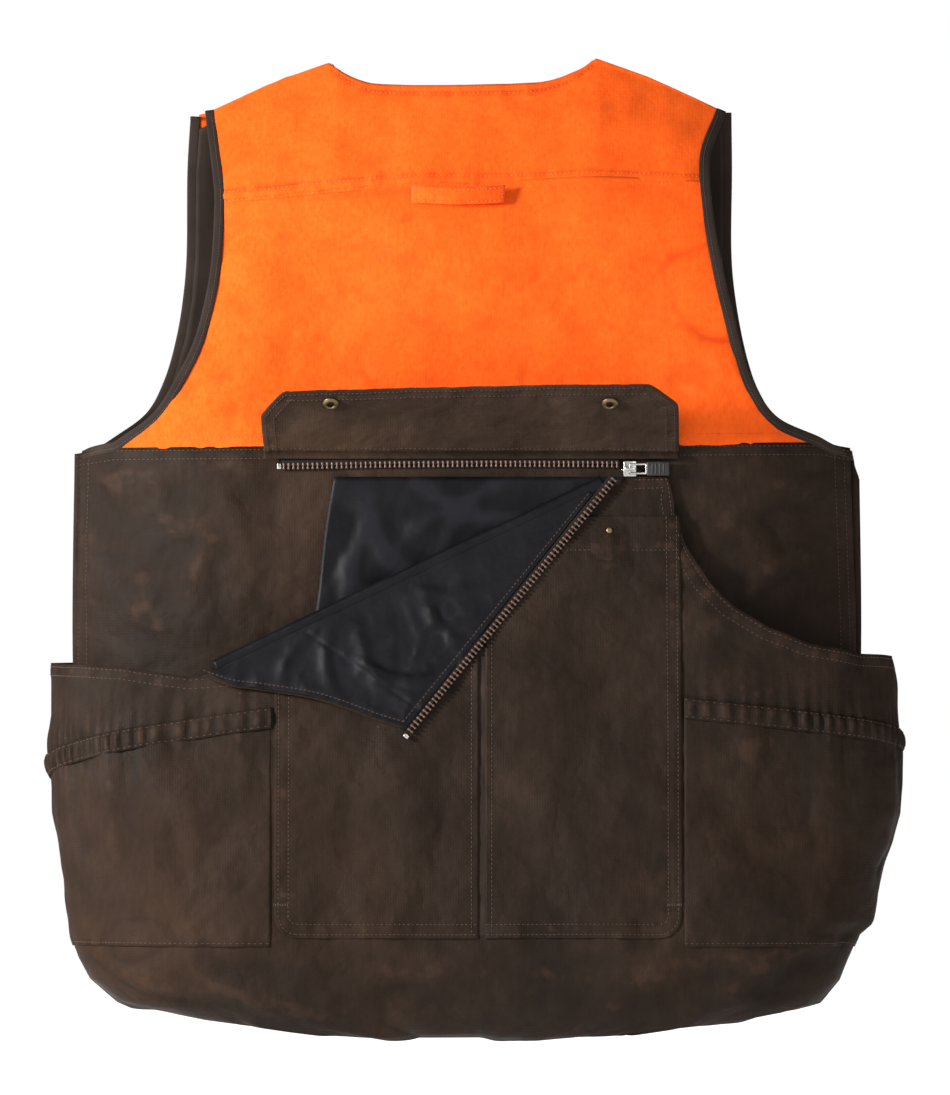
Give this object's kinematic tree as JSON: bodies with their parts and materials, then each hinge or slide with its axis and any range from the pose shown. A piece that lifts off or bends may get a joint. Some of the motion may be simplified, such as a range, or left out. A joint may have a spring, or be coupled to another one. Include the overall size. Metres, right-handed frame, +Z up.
{
  "type": "hunting vest",
  "caption": "Blaze orange and brown waxed-cotton upland hunting vest with a zipped rear game bag, storm flap and rear pocket, side pockets and flapped front pockets.",
  "frame": {"origin": "middle of the neck opening at the height of the neck points of the shoulder seams, midway between the back and the front", "axes": "+Z up the body, +X to the wearer's right, -Y out of the wearer's back, +Y out of the chest"},
  "size_m": [0.6372, 0.1978, 0.7279],
  "materials": {
    "back_lining": "dark brown cotton",
    "back_lower": "waxed brown cotton",
    "back_upper": "blaze orange cotton",
    "back_yoke": "blaze orange cotton",
    "bag_center_panel": "waxed brown cotton",
    "bag_liner": "charcoal coated nylon",
    "bag_mouth_liner": "charcoal coated nylon",
    "bag_mouth_panel": "waxed brown cotton",
    "bag_pull_grip": "matte black rubber",
    "bag_pull_link": "satin nickel plate",
    "bag_side_left": "waxed brown cotton",
    "bag_side_right": "waxed brown cotton",
    "bag_snap_stud_left": "antique brass",
    "bag_snap_stud_right": "antique brass",
    "bag_zip_lower_chain": "moulded brown teeth on brown tape",
    "bag_zip_lower_stop": "satin nickel plate",
    "bag_zip_slider": "satin nickel plate",
    "bag_zip_top_stop": "satin nickel plate",
    "bag_zip_upper_chain": "moulded brown teeth on brown tape",
    "elastic_band_left": "dark brown cotton",
    "elastic_band_right": "dark brown cotton",
    "flap_snap_cap_left": "antique brass",
    "flap_snap_cap_right": "antique brass",
    "flap_snap_socket_left": "antique brass",
    "flap_snap_socket_right": "antique brass",
    "front_zip_pull": "satin nickel plate",
    "front_zip_slider": "satin nickel plate",
    "left_armhole_binding": "dark brown cotton",
    "left_front_lining": "dark brown cotton",
    "left_front_lower": "waxed brown cotton",
    "left_front_pocket": "waxed brown cotton",
    "left_front_upper": "blaze orange cotton",
    "left_front_zip_chain": "moulded brown teeth on brown tape",
    "left_pocket_flap": "waxed brown cotton",
    "left_pocket_snap_cap": "antique brass",
    "left_pocket_snap_socket": "antique brass",
    "left_pocket_snap_stud": "antique brass",
    "left_shoulder_patch": "blaze orange cotton",
    "locker_loop": "blaze orange cotton",
    "neck_facing": "blaze orange cotton",
    "rear_pocket_corner": "waxed brown cotton",
    "rear_pocket_left": "waxed brown cotton",
    "rear_pocket_pleat": "dark brown cotton",
    "rear_pocket_right": "waxed brown cotton",
    "right_armhole_binding": "dark brown cotton",
    "right_front_lining": "dark brown cotton",
    "right_front_lower": "waxed brown cotton",
    "right_front_pocket": "waxed brown cotton",
    "right_front_upper": "blaze orange cotton",
    "right_front_zip_chain": "moulded brown teeth on brown tape",
    "right_pocket_flap": "waxed brown cotton",
    "right_pocket_snap_cap": "antique brass",
    "right_pocket_snap_socket": "antique brass",
    "right_pocket_snap_stud": "antique brass",
    "right_shoulder_patch": "blaze orange cotton",
    "side_pocket_left": "waxed brown cotton",
    "side_pocket_right": "waxed brown cotton",
    "storm_flap": "waxed brown cotton"
  },
  "bodies": {
    "vest": {"back_lining": "back_lining", "back_lower": "back_lower", "back_upper": "back_upper", "back_yoke": "back_yoke", "bag_center_panel": "bag_center_panel", "bag_liner": "bag_liner", "bag_side_left": "bag_side_left", "bag_side_right": "bag_side_right", "bag_snap_stud_right": "bag_snap_stud_right", "bag_zip_top_stop": "bag_zip_top_stop", "bag_zip_upper_chain": "bag_zip_upper_chain", "elastic_band_left": "elastic_band_left", "elastic_band_right": "elastic_band_right", "left_armhole_binding": "left_armhole_binding", "left_front_lining": "left_front_lining", "left_front_lower": "left_front_lower", "left_front_pocket": "left_front_pocket", "left_front_upper": "left_front_upper", "left_front_zip_chain": "left_front_zip_chain", "left_pocket_snap_stud": "left_pocket_snap_stud", "left_shoulder_patch": "left_shoulder_patch", "locker_loop": "locker_loop", "neck_facing": "neck_facing", "rear_pocket_left": "rear_pocket_left", "rear_pocket_pleat": "rear_pocket_pleat", "rear_pocket_right": "rear_pocket_right", "right_armhole_binding": "right_armhole_binding", "right_front_lining": "right_front_lining", "right_front_lower": "right_front_lower", "right_front_pocket": "right_front_pocket", "right_front_upper": "right_front_upper", "right_front_zip_chain": "right_front_zip_chain", "right_pocket_snap_stud": "right_pocket_snap_stud", "right_shoulder_patch": "right_shoulder_patch", "side_pocket_left": "side_pocket_left", "side_pocket_right": "side_pocket_right"},
    "storm_flap": {"storm_flap": "storm_flap", "flap_snap_socket_left": "flap_snap_socket_left", "flap_snap_socket_right": "flap_snap_socket_right", "flap_snap_cap_left": "flap_snap_cap_left", "flap_snap_cap_right": "flap_snap_cap_right"},
    "bag_mouth": {"bag_mouth_panel": "bag_mouth_panel", "bag_mouth_liner": "bag_mouth_liner", "rear_pocket_corner": "rear_pocket_corner", "bag_zip_lower_chain": "bag_zip_lower_chain", "bag_zip_lower_stop": "bag_zip_lower_stop", "bag_snap_stud_left": "bag_snap_stud_left"},
    "bag_slider": {"bag_zip_slider": "bag_zip_slider"},
    "bag_pull": {"bag_pull_link": "bag_pull_link", "bag_pull_grip": "bag_pull_grip"},
    "front_slider": {"front_zip_slider": "front_zip_slider"},
    "front_pull": {"front_zip_pull": "front_zip_pull"},
    "left_pocket_flap": {"left_pocket_flap": "left_pocket_flap", "left_pocket_snap_cap": "left_pocket_snap_cap", "left_pocket_snap_socket": "left_pocket_snap_socket"},
    "right_pocket_flap": {"right_pocket_flap": "right_pocket_flap", "right_pocket_snap_cap": "right_pocket_snap_cap", "right_pocket_snap_socket": "right_pocket_snap_socket"}
  },
  "joints": [
    {"name": "storm_flap_hinge", "type": "hinge", "parent": "vest", "child": "storm_flap", "pos_m": [0.003, -0.0586, -0.294], "axis": [1, 0, 0], "range_deg": [0, 125]},
    {"name": "bag_zip_slide", "type": "slide", "parent": "vest", "child": "bag_slider", "axis": [-1, 0, 0], "range_m": [0, 0.25]},
    {"name": "bag_mouth_fold", "type": "hinge", "parent": "vest", "child": "bag_mouth", "pos_m": [0.117, -0.05903, -0.30424], "axis": [-0.9021, -0.0514, -0.4284], "range_deg": [0, 179.8]},
    {"name": "bag_pull_hinge", "type": "hinge", "parent": "bag_slider", "child": "bag_pull", "pos_m": [0.1215, -0.0599, -0.303], "axis": [0, 0, -1], "range_deg": [0, 180]},
    {"name": "front_zip_slide", "type": "slide", "parent": "vest", "child": "front_slider", "axis": [0, 0, -1], "range_m": [0, 0.52]},
    {"name": "front_pull_hinge", "type": "hinge", "parent": "front_slider", "child": "front_pull", "pos_m": [0, 0.05585, -0.1705], "axis": [1, 0, 0], "range_deg": [0, 170]},
    {"name": "left_pocket_flap_hinge", "type": "hinge", "parent": "vest", "child": "left_pocket_flap", "pos_m": [-0.12, 0.0563, -0.436], "axis": [1, 0, 0], "range_deg": [0, 120]},
    {"name": "right_pocket_flap_hinge", "type": "hinge", "parent": "vest", "child": "right_pocket_flap", "pos_m": [0.12, 0.0563, -0.436], "axis": [1, 0, 0], "range_deg": [0, 120]}
  ],
  "couplings": [
    {"joint": "bag_mouth_fold", "follows": "bag_zip_slide", "rad_per_m": 12.552}
  ]
}
